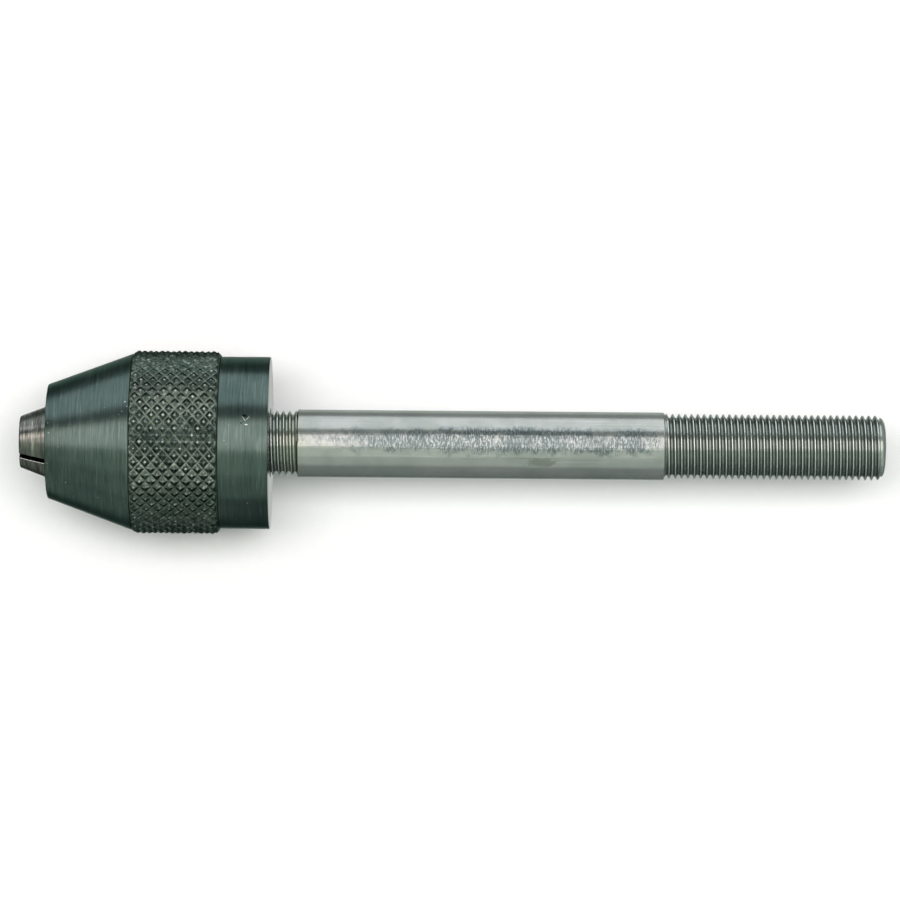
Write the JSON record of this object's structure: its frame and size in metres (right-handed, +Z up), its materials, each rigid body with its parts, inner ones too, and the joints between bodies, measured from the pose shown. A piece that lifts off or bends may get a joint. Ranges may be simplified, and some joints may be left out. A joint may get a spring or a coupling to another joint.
{
  "type": "drill chuck",
  "caption": "Small keyless drill chuck with a knurled, blackened screw shell and coned jaws, on a long straight steel shank threaded at its end.",
  "frame": {"origin": "on the chuck's axis, at the front shoulder of the plain shank, where the front thread ends", "axes": "+X along the axis from the chuck towards the shank's threaded end; +Z up as the chuck lies on its knurled sleeve"},
  "size_m": [0.1024, 0.0218, 0.0218],
  "materials": {
    "bright_steel": "ground, lightly handled",
    "blackened_steel": "turned, knurled and blackened",
    "jaw_steel": "hardened, fine turned",
    "machined_steel": "machined, oiled",
    "fastener_steel": "plain, oiled",
    "bearing_steel": "hardened and polished",
    "cage_brass": "stamped",
    "spring_wire": "drawn wire"
  },
  "bodies": {
    "shank": {"threaded_shank": "bright_steel", "rear_race": "bearing_steel", "carrier_screw": "fastener_steel", "carrier_washer": "fastener_steel"},
    "carrier": {"jaw_carrier": "machined_steel", "front_race": "bearing_steel", "guide_pins": "machined_steel"},
    "cage": {"ball_cage": "cage_brass", "thrust_balls": "bearing_steel"},
    "shell": {"nose_cone": "blackened_steel", "knurled_sleeve": "blackened_steel", "rear_cap": "blackened_steel"},
    "jaw_1": {"jaw_1": "jaw_steel", "jaw_spring_1": "spring_wire"},
    "jaw_2": {"jaw_2": "jaw_steel", "jaw_spring_2": "spring_wire"},
    "jaw_3": {"jaw_3": "jaw_steel", "jaw_spring_3": "spring_wire"}
  },
  "joints": [
    {"name": "sleeve_turn", "type": "hinge", "parent": "shank", "child": "carrier", "pos_m": [-0.0188, 0, 0], "axis": [-1, 0, 0], "range_deg": [-432, 1980]},
    {"name": "cage_turn", "type": "hinge", "parent": "shank", "child": "cage", "pos_m": [-0.01581, 0, 0], "axis": [-1, 0, 0], "range_deg": [-216, 990]},
    {"name": "shell_advance", "type": "slide", "parent": "carrier", "child": "shell", "axis": [-1, 0, 0], "range_m": [-0.0009, 0.00413]},
    {"name": "jaw_1_slide", "type": "slide", "parent": "carrier", "child": "jaw_1", "axis": [0, -0.9945, -0.1045], "range_m": [-0.00034, 0.00157], "deforming": ["jaw_spring_1"]},
    {"name": "jaw_2_slide", "type": "slide", "parent": "carrier", "child": "jaw_2", "axis": [0, 0.5878, -0.809], "range_m": [-0.00034, 0.00157], "deforming": ["jaw_spring_2"]},
    {"name": "jaw_3_slide", "type": "slide", "parent": "carrier", "child": "jaw_3", "axis": [0, 0.4067, 0.9135], "range_m": [-0.00034, 0.00157], "deforming": ["jaw_spring_3"]}
  ],
  "couplings": [
    {"joint": "sleeve_turn", "follows": "shell_advance", "rad_per_m": 8377.6},
    {"joint": "cage_turn", "follows": "shell_advance", "rad_per_m": 4188.8},
    {"joint": "jaw_1_slide", "follows": "shell_advance", "ratio": 0.38},
    {"joint": "jaw_2_slide", "follows": "shell_advance", "ratio": 0.38},
    {"joint": "jaw_3_slide", "follows": "shell_advance", "ratio": 0.38}
  ]
}
